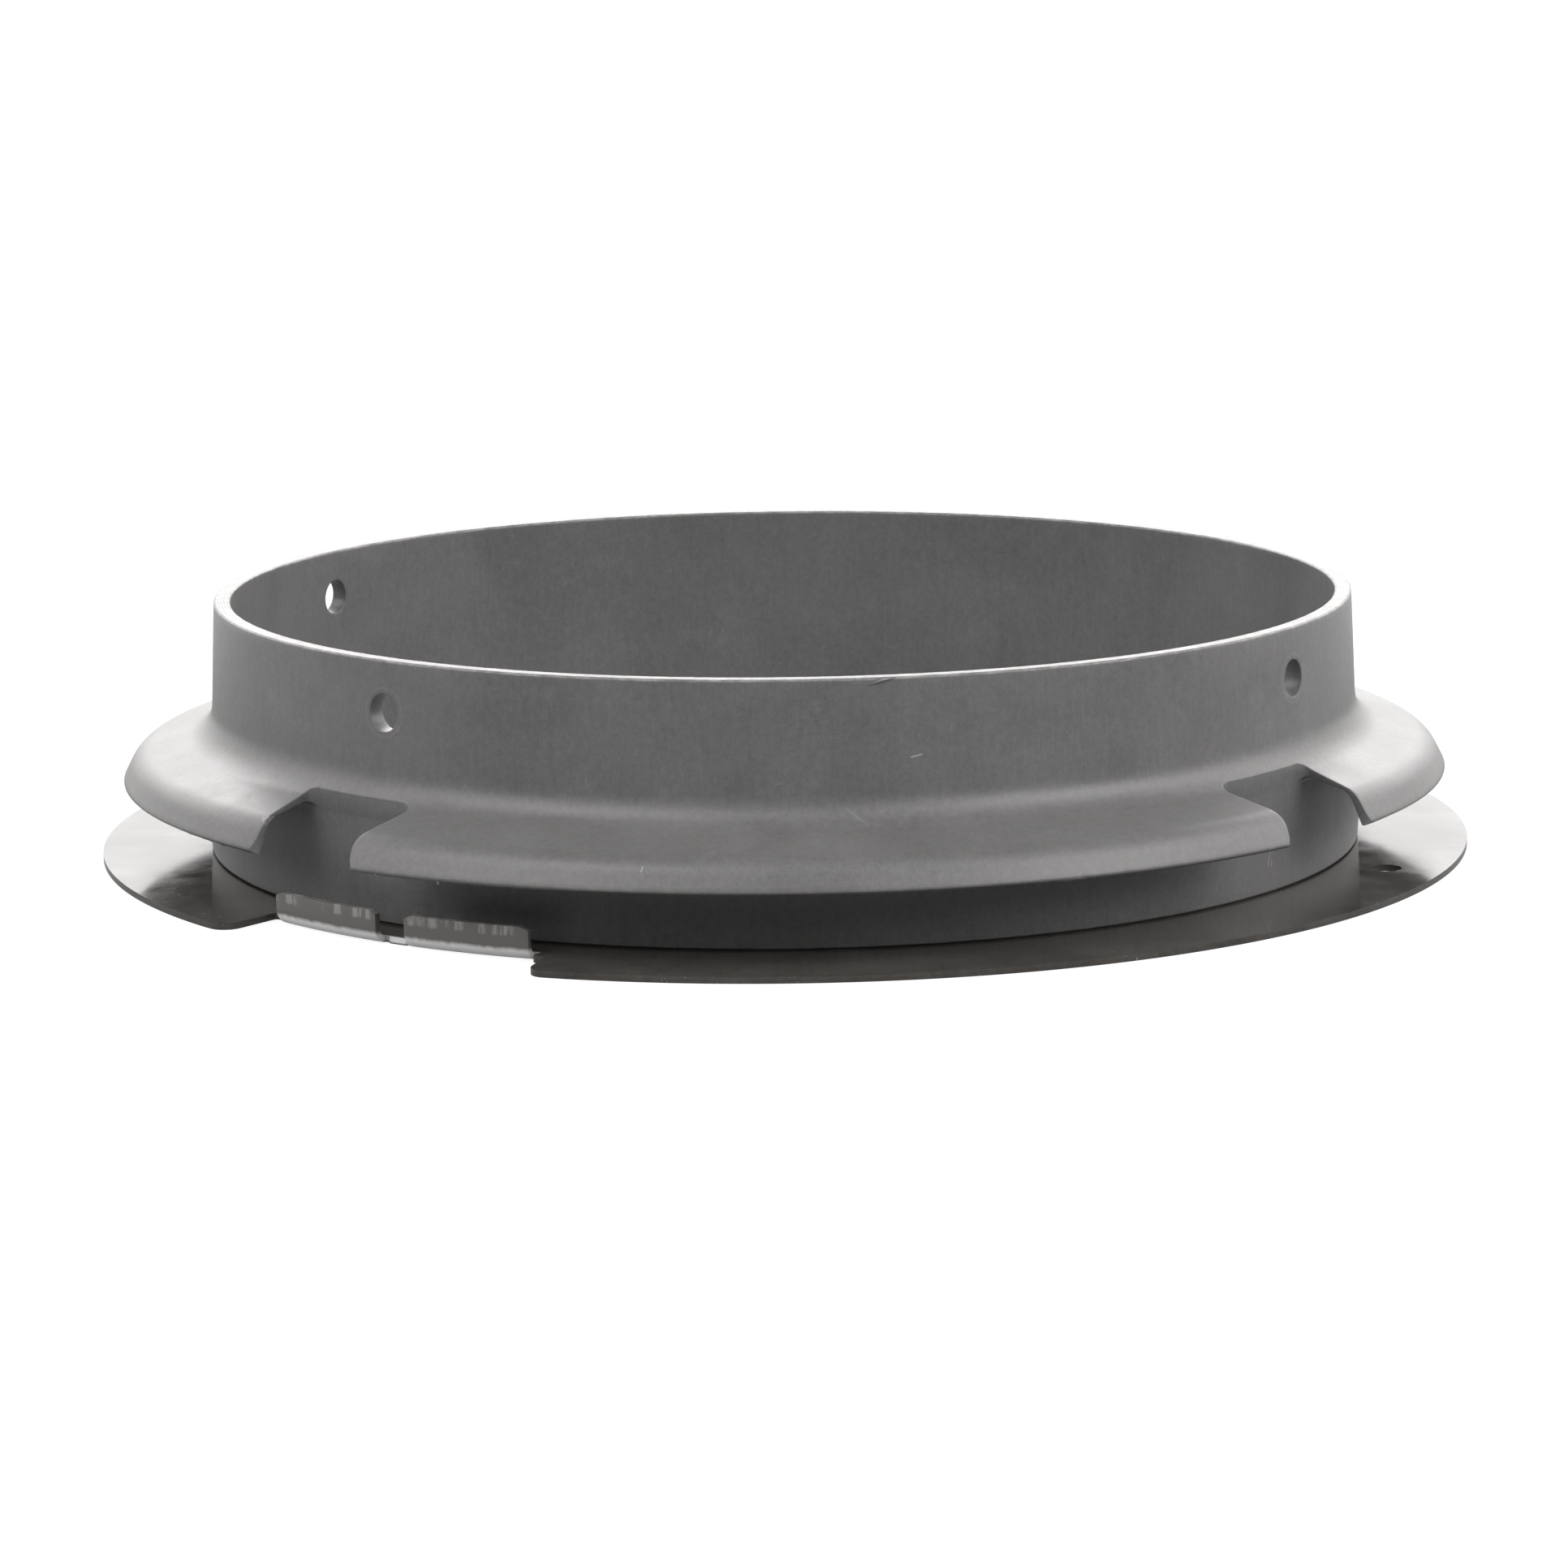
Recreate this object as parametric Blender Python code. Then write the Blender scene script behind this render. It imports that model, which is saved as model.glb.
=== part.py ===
"""Round connection collar on a sheet-steel mounting ring.

The collar is one plastic moulding: a tapered sleeve, an umbrella-shaped flange cut into four
sectors, and a plain foot. The ring is a flat black steel pressing under it, with a notch on
each of two opposite sides and two short lips bent up from the floor of each notch.

Metres, +Z up. The origin is the middle of the ring's underside. Azimuths are in degrees,
measured from the front (-Y) and positive towards +X.
"""

import math

import bmesh
import bpy
from mathutils import Matrix, Vector

# Overall
HEIGHT = 0.0341            # ring's underside to the sleeve's rim
FIT_GAP = 0.0003           # clearance between the collar and the ring
SEGMENTS = 96              # facets round a full turn
HALF_TURN = 180.0          # the cut-outs repeat on the opposite side

# Collar: sleeve
RIM_RADIUS = 0.0762        # outside of the rim, a 6 in nominal sleeve
SLEEVE_DRAFT = 0.0425      # growth of the radius per unit of depth below the rim
FOOT_RADIUS = 0.0773       # outside of the foot, at its bottom
FOOT_DRAFT = 0.054         # growth of the foot's radius per unit of height, up to the flange
BORE_RADIUS = 0.0740       # inside of the rim; the bore follows the sleeve's draft
FOOT_BORE_RADIUS = 0.0751  # inside of the spigot
EDGE_ROUND = 0.00025
PIN_HOLE_DIAMETER = 0.0048
PIN_HOLE_DEPTH = 0.0066    # below the rim
PIN_HOLE_AZIMUTHS = (-121.4, -40.6, 58.3)

# Collar: umbrella flange, its upper face measured below the rim
SHOULDER_RADIUS = 0.0870
SHOULDER_DEPTH = 0.0201
LIP_RADIUS = 0.0889
LIP_DEPTH = 0.0238
FLANGE_SLOPE = math.radians(15.5)
FLANGE_THICKNESS = 0.0012
LIP_ROUND = 0.0003
ROOT_FILLET = 0.0045
SHOULDER_FILLET = 0.0040
UNDER_FILLET = 0.0010
FLANGE_GAPS = (-42.8, 50.9)    # azimuths of their middles
GAP_FLOOR_HALF = 6.95          # half a gap's angle at its floor
GAP_LIP_HALF = 5.45            # and at the flange's lip
GAP_FLOOR_RADIUS = 0.0782
GAP_CORNER = 0.0016
LIP_CORNER = 0.0016

# Ring
SHEET = 0.00085
RING_RADIUS = 0.09186
SPIGOT_RADIUS = 0.0765     # the collar's spigot fills the ring's bore
SCREW_HOLE_DIAMETER = 0.0043
SCREW_HOLE_RADIUS = 0.0841 # from the ring's centre
SCREW_HOLE_AZIMUTH = 68.0
NOTCH_LEFT = (-50.06, -51.6)   # azimuth at the ring's edge and at the notch's floor
NOTCH_RIGHT = (-19.95, -20.4)
NOTCH_FLOOR_RADIUS = 0.0820
NOTCH_RELIEF_RADIUS = 0.0844
NOTCH_CORNER = 0.0023
LAND_RADIUS = 0.0827       # floor of the notch between the two lips
UPTURNED_LIPS = ((-49.6, -37.1), (-34.0, -21.9))
UPTURNED_FACE_RADIUS = 0.0842
UPTURNED_TOP = 0.00425
BEND_RADIUS = 0.0019       # outside of the bend
TAIL = 0.0010              # how far a lip's section reaches into the ring's plate


def clear_scene():
    for item in list(bpy.data.objects):
        bpy.data.objects.remove(item, do_unlink=True)


def plan(radius, azimuth):
    """The point in plan at a radius and an azimuth in degrees from the front."""
    angle = math.radians(azimuth)
    return Vector((radius * math.sin(angle), -radius * math.cos(angle)))


def arc(radius, start, end, steps):
    """Points in plan along an arc about the origin, both ends included."""
    return [plan(radius, start + (end - start) * i / steps) for i in range(steps + 1)]


def rounded(corners, steps=4):
    """A closed outline from (point, fillet radius) corners, each fillet an arc of some steps."""
    outline = []
    for index, (corner, radius) in enumerate(corners):
        if radius <= 0:
            outline.append(corner)
            continue
        before = (corners[index - 1][0] - corner).normalized()
        after = (corners[(index + 1) % len(corners)][0] - corner).normalized()
        half_angle = before.angle(after) / 2
        centre = corner + (before + after).normalized() * radius / math.sin(half_angle)
        reach = radius / math.tan(half_angle)
        first = corner + before * reach - centre
        last = corner + after * reach - centre
        sweep = first.angle_signed(last)
        for step in range(steps + 1):
            turn = Matrix.Rotation(-sweep * step / steps, 2)
            outline.append(centre + turn @ first)
    return outline


def plain(points):
    """Corners with no fillet."""
    return [(point, 0) for point in points]


def material(name, colour, roughness, metallic=0.0):
    made = bpy.data.materials.new(name)
    made.use_nodes = True
    shader = made.node_tree.nodes["Principled BSDF"]
    shader.inputs["Base Color"].default_value = (*colour, 1)
    shader.inputs["Roughness"].default_value = roughness
    shader.inputs["Metallic"].default_value = metallic
    return made


def finish_mesh(name, bm, sharp_angle=math.radians(30)):
    """An object from a bmesh, faces out and smooth shaded."""
    bmesh.ops.recalc_face_normals(bm, faces=bm.faces)
    if bm.calc_volume(signed=True) < 0:
        bmesh.ops.reverse_faces(bm, faces=bm.faces)
    mesh = bpy.data.meshes.new(name)
    bm.to_mesh(mesh)
    bm.free()
    mesh.shade_smooth()
    mesh.set_sharp_from_angle(angle=sharp_angle)
    made = bpy.data.objects.new(name, mesh)
    bpy.context.scene.collection.objects.link(made)
    return made


def sweep(name, section, azimuths, closed):
    """A section of (radius, height) points swept about Z through the azimuths."""
    bm = bmesh.new()
    rings = []
    for azimuth in azimuths:
        spots = [plan(point.x, azimuth).to_3d() + Vector((0, 0, point.y)) for point in section]
        rings.append([bm.verts.new(spot) for spot in spots])
    pairs = list(zip(rings, rings[1:]))
    if closed:
        pairs.append((rings[-1], rings[0]))
    else:
        bm.faces.new(rings[0])
        bm.faces.new(rings[-1])
    for near, far in pairs:
        for i in range(len(section)):
            j = (i + 1) % len(section)
            bm.faces.new((near[i], near[j], far[j], far[i]))
    return finish_mesh(name, bm)


def slab(name, outlines, low, high):
    """A flat plate between two heights. The first outline is its edge, the others are holes."""
    bm = bmesh.new()
    edges = []
    for outline in outlines:
        verts = [bm.verts.new((point.x, point.y, low)) for point in outline]
        edges += [bm.edges.new((verts[i - 1], verts[i])) for i in range(len(verts))]
    bmesh.ops.triangle_fill(bm, use_beauty=True, edges=edges)
    grown = bmesh.ops.extrude_face_region(bm, geom=bm.faces[:])
    risen = [item for item in grown["geom"] if isinstance(item, bmesh.types.BMVert)]
    bmesh.ops.translate(bm, vec=(0, 0, high - low), verts=risen)
    return finish_mesh(name, bm)


def combine(body, tool, operation):
    """A Boolean of body with tool, which stays in the file as a hidden guide."""
    tool.hide_render = True
    tool.display_type = "WIRE"
    modifier = body.modifiers.new(tool.name, "BOOLEAN")
    modifier.operation = operation
    modifier.solver = "EXACT"
    modifier.object = tool


def collar_section():
    """The collar's wall, flange, foot and spigot as (radius, height) points, from the rim down."""
    foot = SHEET + FIT_GAP
    shoulder = Vector((SHOULDER_RADIUS, HEIGHT - SHOULDER_DEPTH))
    lip = Vector((LIP_RADIUS, HEIGHT - LIP_DEPTH))
    slope = Vector((math.cos(FLANGE_SLOPE), -math.sin(FLANGE_SLOPE)))
    skirt = (lip - shoulder).normalized()
    under_slope = Vector((-slope.y, slope.x)) * -FLANGE_THICKNESS
    under_skirt = Vector((-skirt.y, skirt.x)) * -FLANGE_THICKNESS
    under_lip = lip + under_skirt
    turn = slope.angle(skirt)
    under_shoulder = shoulder + under_skirt + skirt * -FLANGE_THICKNESS * math.tan(turn / 2)

    def on_wall(start, radius, height, growth):
        """Where a line through start, along the slope, meets a wall of that radius at that height."""
        at_start = radius + growth * (start.y - height)
        return start - slope * ((start.x - at_start) / (slope.x - growth * slope.y))

    root = on_wall(shoulder, RIM_RADIUS, HEIGHT, -SLEEVE_DRAFT)
    under_root = on_wall(shoulder + under_slope, FOOT_RADIUS, foot, FOOT_DRAFT)
    bore = SPIGOT_RADIUS
    return rounded([
        (Vector((RIM_RADIUS, HEIGHT)), EDGE_ROUND),
        (root, ROOT_FILLET),
        (shoulder, SHOULDER_FILLET),
        (lip, LIP_ROUND),
        (under_lip, LIP_ROUND),
        (under_shoulder, SHOULDER_FILLET - FLANGE_THICKNESS),
        (under_root, UNDER_FILLET),
        (Vector((FOOT_RADIUS, foot)), 0),
        (Vector((bore, foot)), 0),
        (Vector((bore, 0)), 0),
        (Vector((FOOT_BORE_RADIUS, 0)), 0),
        (Vector((BORE_RADIUS, HEIGHT)), EDGE_ROUND),
    ], steps=3)


def flange_gap(name, middle):
    """The cutter for one gap: it stops short of the sleeve and flares out past the flange's lip."""
    clear = 0.0910
    flare = 9.0
    start, end = middle - GAP_FLOOR_HALF, middle + GAP_FLOOR_HALF
    outline = rounded(
        [(plan(GAP_FLOOR_RADIUS, start), GAP_CORNER)]
        + plain(arc(GAP_FLOOR_RADIUS, start + 3, end - 3, 2))
        + [(plan(GAP_FLOOR_RADIUS, end), GAP_CORNER),
           (plan(LIP_RADIUS + 0.0002, middle + GAP_LIP_HALF), LIP_CORNER),
           (plan(clear, middle + GAP_LIP_HALF + flare), 0),
           (plan(clear * 1.2, middle), 0),
           (plan(clear, middle - GAP_LIP_HALF - flare), 0),
           (plan(LIP_RADIUS + 0.0002, middle - GAP_LIP_HALF), LIP_CORNER)])
    return slab(name, [outline], low=0.004, high=HEIGHT - 0.010)


def pin_hole(name, azimuth):
    """A radial cutter through the sleeve's wall."""
    bm = bmesh.new()
    radius = PIN_HOLE_DIAMETER / 2
    bmesh.ops.create_cone(bm, cap_ends=True, segments=24, radius1=radius, radius2=radius, depth=0.010)
    outward = plan(1, azimuth).to_3d()
    turn = outward.to_track_quat("Z", "Y").to_matrix().to_4x4()
    spot = outward * ((RIM_RADIUS + BORE_RADIUS) / 2) + Vector((0, 0, HEIGHT - PIN_HOLE_DEPTH))
    bm.transform(Matrix.Translation(spot) @ turn)
    return finish_mesh(name, bm)


def build_collar(finish):
    step = 360 / SEGMENTS
    collar = sweep("collar", collar_section(), [i * step for i in range(SEGMENTS)], closed=True)
    collar.data.materials.append(finish)
    for side in range(2):
        for index, middle in enumerate(FLANGE_GAPS):
            gap = flange_gap(f"flange_gap_{side}_{index}", middle + side * HALF_TURN)
            combine(collar, gap, "DIFFERENCE")
    for index, azimuth in enumerate(PIN_HOLE_AZIMUTHS):
        combine(collar, pin_hole(f"pin_hole_{index}", azimuth), "DIFFERENCE")
    return collar


def notch_corners(turn):
    """The ring's outline through one notch, left to right as seen from outside."""
    left_edge, left_floor = NOTCH_LEFT
    right_edge, right_floor = NOTCH_RIGHT
    (first_start, first_end), (second_start, second_end) = UPTURNED_LIPS
    floor = NOTCH_FLOOR_RADIUS
    relief = 0.4           # degrees between a lip's end and the land or corner beside it
    return (
        [(plan(RING_RADIUS, left_edge + turn), NOTCH_CORNER),
         (plan(floor, left_floor + turn), 0.0006)]
        + plain(arc(floor, first_start + turn - relief, first_end + turn + relief, 4))
        + plain(arc(LAND_RADIUS, first_end + turn + relief, second_start + turn - relief, 2))
        + plain(arc(floor, second_start + turn - relief, second_end + turn + relief, 4))
        + [(plan(NOTCH_RELIEF_RADIUS, second_end + turn + relief), 0),
           (plan(NOTCH_RELIEF_RADIUS, right_floor + turn), 0),
           (plan(RING_RADIUS, right_edge + turn), NOTCH_CORNER)])


def ring_outline():
    corners = []
    left, right = NOTCH_LEFT[0], NOTCH_RIGHT[0]
    margin = 3.0           # degrees kept clear of a notch, for its rounded corners
    for side in range(2):
        turn = side * HALF_TURN
        corners += notch_corners(turn)
        start = right + turn + margin
        end = left + turn + HALF_TURN - margin
        corners += plain(arc(RING_RADIUS, start, end, round((end - start) / 360 * SEGMENTS)))
    return rounded(corners)


def upturned_lip(name, start, end):
    """One lip: a tapered tail inside the plate, a bend, and an upright with a rounded top."""
    face = UPTURNED_FACE_RADIUS
    centre = Vector((face - BEND_RADIUS, BEND_RADIUS))
    steps = 5
    outer = []
    inner = []
    for step in range(steps + 1):
        angle = math.pi / 2 * step / steps
        down = Vector((math.sin(angle), -math.cos(angle)))
        outer.append(centre + down * BEND_RADIUS)
        inner.append(centre + down * (BEND_RADIUS - SHEET))
    tail = centre.x - TAIL
    section = [Vector((tail, SHEET / 4))] + outer
    section += [Vector((face, UPTURNED_TOP - SHEET / 3)),
                Vector((face - SHEET / 3, UPTURNED_TOP)),
                Vector((face - SHEET * 2 / 3, UPTURNED_TOP)),
                Vector((face - SHEET, UPTURNED_TOP - SHEET / 3))]
    section += inner[::-1] + [Vector((tail, SHEET * 3 / 4))]
    spans = 4
    return sweep(name, section, [start + (end - start) * i / spans for i in range(spans + 1)], closed=False)


def build_ring(finish):
    bore = arc(SPIGOT_RADIUS + FIT_GAP, 0, 360 - 360 / SEGMENTS, SEGMENTS - 1)
    outlines = [ring_outline(), bore]
    for side in range(2):
        centre = plan(SCREW_HOLE_RADIUS, SCREW_HOLE_AZIMUTH + side * HALF_TURN)
        outlines.append([centre + spot for spot in arc(SCREW_HOLE_DIAMETER / 2, 0, 345, 23)])
    ring = slab("mounting_ring", outlines, low=0.0, high=SHEET)
    ring.data.materials.append(finish)
    for side in range(2):
        for index, (start, end) in enumerate(UPTURNED_LIPS):
            turn = side * HALF_TURN
            lip = upturned_lip(f"upturned_lip_{side}_{index}", start + turn, end + turn)
            combine(ring, lip, "UNION")
    return ring


clear_scene()
build_collar(material("collar_plastic", (0.13, 0.13, 0.135), 0.5))
build_ring(material("ring_paint", (0.02, 0.018, 0.017), 0.2, metallic=0.3))
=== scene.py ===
"""The collar and its mounting ring, detailed and lit for a product picture.

Metres, +Z up. Azimuths are in degrees from the front (-Y), positive towards +X.
"""

import math

import bmesh
import bpy
from mathutils import Matrix, Vector, noise


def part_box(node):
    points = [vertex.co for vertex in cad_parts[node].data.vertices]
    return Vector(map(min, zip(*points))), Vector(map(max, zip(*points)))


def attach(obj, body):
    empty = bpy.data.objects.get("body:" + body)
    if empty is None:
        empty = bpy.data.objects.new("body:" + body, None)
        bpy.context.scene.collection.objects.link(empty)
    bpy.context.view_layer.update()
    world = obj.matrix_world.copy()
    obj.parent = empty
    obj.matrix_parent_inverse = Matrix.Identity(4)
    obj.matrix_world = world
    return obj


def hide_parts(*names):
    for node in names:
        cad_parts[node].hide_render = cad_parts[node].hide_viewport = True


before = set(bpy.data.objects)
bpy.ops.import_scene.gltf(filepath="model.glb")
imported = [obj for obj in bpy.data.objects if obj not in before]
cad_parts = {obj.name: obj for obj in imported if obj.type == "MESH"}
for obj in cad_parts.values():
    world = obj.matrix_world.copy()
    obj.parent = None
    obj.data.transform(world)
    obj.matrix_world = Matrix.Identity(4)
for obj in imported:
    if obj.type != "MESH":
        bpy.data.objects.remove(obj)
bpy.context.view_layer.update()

MM = 0.001

# Collar
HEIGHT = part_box("collar")[1].z
RIM_RADIUS = 76.2 * MM
SLEEVE_DRAFT = 0.0425
FOOT_RADIUS = 77.3 * MM
FOOT_DRAFT = 0.054
FOOT_HEIGHT = 0.97 * MM
SPIGOT_RADIUS = 76.5 * MM
WALL = 2.2 * MM
BORE_DRAFT = 0.033
RIM_ROUND = 0.3 * MM
HOLE_RADIUS = 2.4 * MM
HOLE_HEIGHT = HEIGHT - 6.6 * MM
HOLE_AZIMUTHS = (-121.4, -40.6, 58.3)
HOLE_BLOCK = 3.5 * MM       # half the patch of wall that is meshed round each hole

# Flange
LIP_RADIUS = 88.9 * MM
LIP_HEIGHT = HEIGHT - 23.8 * MM
SHOULDER_RADIUS = 87.0 * MM
SHOULDER_HEIGHT = HEIGHT - 20.1 * MM
FLANGE_SLOPE = math.radians(15.5)
FLANGE_THICKNESS = 1.2 * MM
ROOT_FILLET = 4.5 * MM
SHOULDER_FILLET = 4.0 * MM
UNDER_FILLET = 1.0 * MM
LIP_ROUND = 0.3 * MM
FLANGE_GAPS = (-42.8, 50.9, 137.2, -129.1)
GAP_FLOOR_HALF = 6.95
GAP_LIP_HALF = 5.45
GAP_FLOOR_RADIUS = 78.1 * MM
GAP_CORNER = 1.6 * MM
LIP_CORNER = 1.6 * MM
CORNER_FADE = 9 * MM        # how far along a sector its end's shape still shows

# Ring
SHEET = 0.85 * MM
RING_RADIUS = 91.86 * MM
BORE_RADIUS = 76.8 * MM
SCREW_HOLE_RADIUS = 2.15 * MM
SCREW_CIRCLE = 84.1 * MM
SCREW_AZIMUTH = 68.0
LIP_FACE = 84.2 * MM
LIP_TOP = 4.25 * MM
BEND = 1.9 * MM
BEND_START = LIP_FACE - BEND
NOTCH_FLOOR = BEND_START
LAND_FLOOR = 82.7 * MM
RELIEF_FLOOR = 84.4 * MM
NOTCH_CORNER = 2.3 * MM
UPTURNED_LIPS = ((-49.6, -37.1), (-34.0, -21.9))
LIP_RELIEF = 0.4            # degrees of floor left beside each lip
NOTCH_START = (-50.06, -51.5)       # azimuths at the ring's edge and at the notch's floor
NOTCH_END = (-20.4, -19.95)         # azimuths at the relief's floor and at the ring's edge
RIM_ARC = (-17.0, 126.9)            # the plain edge from one notch to the next

# Small marks on the collar's outside: (azimuth, height) in mm at each end, width in mm, strength
MARKS = (
    ((11.6, 24.2), (12.6, 24.5), 0.10, 0.9),
    ((5.4, 18.4), (7.4, 16.4), 0.18, 0.07),
    ((6.2, 17.2), (7.9, 16.6), 0.14, 0.05),
    ((-11.4, 12.6), (-11.3, 13.2), 0.08, 0.6),
    ((52.3, 4.6), (52.6, 6.4), 0.22, 0.3),
    ((52.9, 4.4), (52.9, 5.0), 0.20, 0.3),
)
HOLE_MARK = 3.1

# Light: each panel's azimuth, half width, elevations over which it rises and falls, strength
PANELS = (
    (180, 75, (12, 19), (26, 54), 8.0),
    (180, 110, (-60, -40), (12, 20), 2.2),
    (105, 25, (4, 12), (34, 55), 3.2),
    (-105, 25, (4, 12), (34, 55), 1.6),
    (60, 45, (10, 30), (34, 55), 7.4),
    (-60, 45, (10, 30), (34, 55), 3.8),
    (50, 60, (32, 52), (58, 80), 2.4),
    (-50, 60, (32, 52), (58, 80), 5.2),
)
AMBIENT = 0.04
FLOOR_GLOW = 0.16

# Camera
DISTANCE = 734.6 * MM
ELEVATION = math.radians(8.55)
TILT = 0.0363
ROLL = math.radians(-0.68)
LENS = 125.2
SENSOR = 36.0

# Mesh
COLUMNS = 960
COLUMN_DEGREES = 360 / COLUMNS
ROW = 0.6 * MM
COLLAR_BREAK = 0.1 * MM
RING_BREAK = 0.16 * MM


def plan(radius, azimuth, height=0.0):
    angle = math.radians(azimuth)
    return Vector((radius * math.sin(angle), -radius * math.cos(angle), height))


def ripple(x, y=0.0, z=0.0):
    """Smooth noise from about -1 to 1."""
    return noise.noise(Vector((x, y, z)))


def rounded(corners, steps=8):
    """An open run of (radius, height) points from (point, fillet radius) corners."""
    run = []
    for index, (corner, radius) in enumerate(corners):
        if radius <= 0 or index in (0, len(corners) - 1):
            run.append(corner)
            continue
        before = (corners[index - 1][0] - corner).normalized()
        after = (corners[index + 1][0] - corner).normalized()
        half_angle = before.angle(after) / 2
        centre = corner + (before + after).normalized() * radius / math.sin(half_angle)
        reach = radius / math.tan(half_angle)
        first = corner + before * reach - centre
        sweep = first.angle_signed(corner + after * reach - centre)
        for step in range(steps + 1):
            run.append(centre + Matrix.Rotation(-sweep * step / steps, 2) @ first)
    return run


def refined(run, longest):
    """The same run with long straight stretches split."""
    fine = [run[0]]
    for start, end in zip(run, run[1:]):
        parts = max(1, math.ceil((end - start).length / longest))
        fine += [start.lerp(end, i / parts) for i in range(1, parts + 1)]
    return fine


def height_at(run, radius):
    """The height of a run of (radius, height) points, radius growing, at a radius."""
    for start, end in zip(run, run[1:]):
        if start.x <= radius <= end.x:
            share = (radius - start.x) / max(end.x - start.x, 1e-12)
            return start.y + (end.y - start.y) * share
    return run[-1].y if radius > run[-1].x else run[0].y


def outside(height):
    return RIM_RADIUS + SLEEVE_DRAFT * (HEIGHT - height)


def inside(height):
    return RIM_RADIUS - WALL + BORE_DRAFT * (HEIGHT - height)


def foot_outside(height):
    return FOOT_RADIUS + FOOT_DRAFT * (height - FOOT_HEIGHT)


def flange_runs():
    """Upper and lower faces of the flange from the wall out, and the rounded lip between them."""
    shoulder = Vector((SHOULDER_RADIUS, SHOULDER_HEIGHT))
    lip = Vector((LIP_RADIUS, LIP_HEIGHT))
    slope = Vector((math.cos(FLANGE_SLOPE), -math.sin(FLANGE_SLOPE)))
    skirt = (lip - shoulder).normalized()
    under_slope = Vector((-slope.y, slope.x)) * -FLANGE_THICKNESS
    under_skirt = Vector((-skirt.y, skirt.x)) * -FLANGE_THICKNESS
    under_lip = lip + under_skirt
    turn = slope.angle(skirt)
    under_shoulder = shoulder + under_skirt - skirt * FLANGE_THICKNESS * math.tan(turn / 2)

    def on_wall(start, wall, growth):
        return start - slope * ((start.x - wall(start.y)) / (slope.x - growth * slope.y))

    root = on_wall(shoulder, outside, -SLEEVE_DRAFT)
    under_root = on_wall(shoulder + under_slope, foot_outside, FOOT_DRAFT)
    high = Vector((outside(root.y + 8 * MM), root.y + 8 * MM))
    low = Vector((foot_outside(under_root.y - 4 * MM), under_root.y - 4 * MM))
    upper = rounded([(high, 0), (root, ROOT_FILLET),
                     (shoulder, SHOULDER_FILLET), (lip - skirt * LIP_ROUND, 0)])
    lower = rounded([(low, 0), (under_root, UNDER_FILLET),
                     (under_shoulder, SHOULDER_FILLET - FLANGE_THICKNESS),
                     (under_lip - skirt * LIP_ROUND, 0)])
    edge = rounded([(lip - skirt * LIP_ROUND * 1.01, 0), (lip, LIP_ROUND),
                    (under_lip, LIP_ROUND), (under_lip - skirt * LIP_ROUND * 1.01, 0)], steps=3)[1:-1]
    return upper, lower, edge


def rim_wear(azimuth, outer):
    """How far the rim's cut edge stands off its true line at an azimuth: ripples and a few nicks."""
    wave = 0.035 * MM * ripple(azimuth * 0.9, 5 if outer else 9)
    fine = 0.03 * MM * ripple(azimuth * 4.1, 15 if outer else 19)
    spike = ripple(azimuth * 1.7, 31 if outer else 37)
    return wave + fine + max(0.0, spike - 0.42) * 0.5 * MM


def end_shift(out):
    """How far a sector's cut end stands back from the gap, at a distance out from the gap's floor."""
    reach = LIP_RADIUS - GAP_FLOOR_RADIUS
    shift = 0.0
    if out < GAP_CORNER:
        shift = GAP_CORNER - math.sqrt(max(0.0, GAP_CORNER ** 2 - (GAP_CORNER - out) ** 2))
    taper = math.radians(GAP_FLOOR_HALF - GAP_LIP_HALF) * LIP_RADIUS
    shift += taper * min(1.0, max(0.0, out) / reach) - GAP_CORNER
    over = out - (reach - LIP_CORNER)
    if over > 0:
        shift -= LIP_CORNER - math.sqrt(max(0.0, LIP_CORNER ** 2 - min(over, LIP_CORNER) ** 2))
    return shift


def flash(azimuth, seed):
    """Thin ragged flash that hangs from the flange's lower edge in places."""
    patch = max(0.0, ripple(azimuth * 0.07, seed) + 0.3)
    tooth = max(0.0, ripple(azimuth * 2.3, seed + 3) + 0.05)
    return patch * tooth * 1.1 * MM


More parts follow.
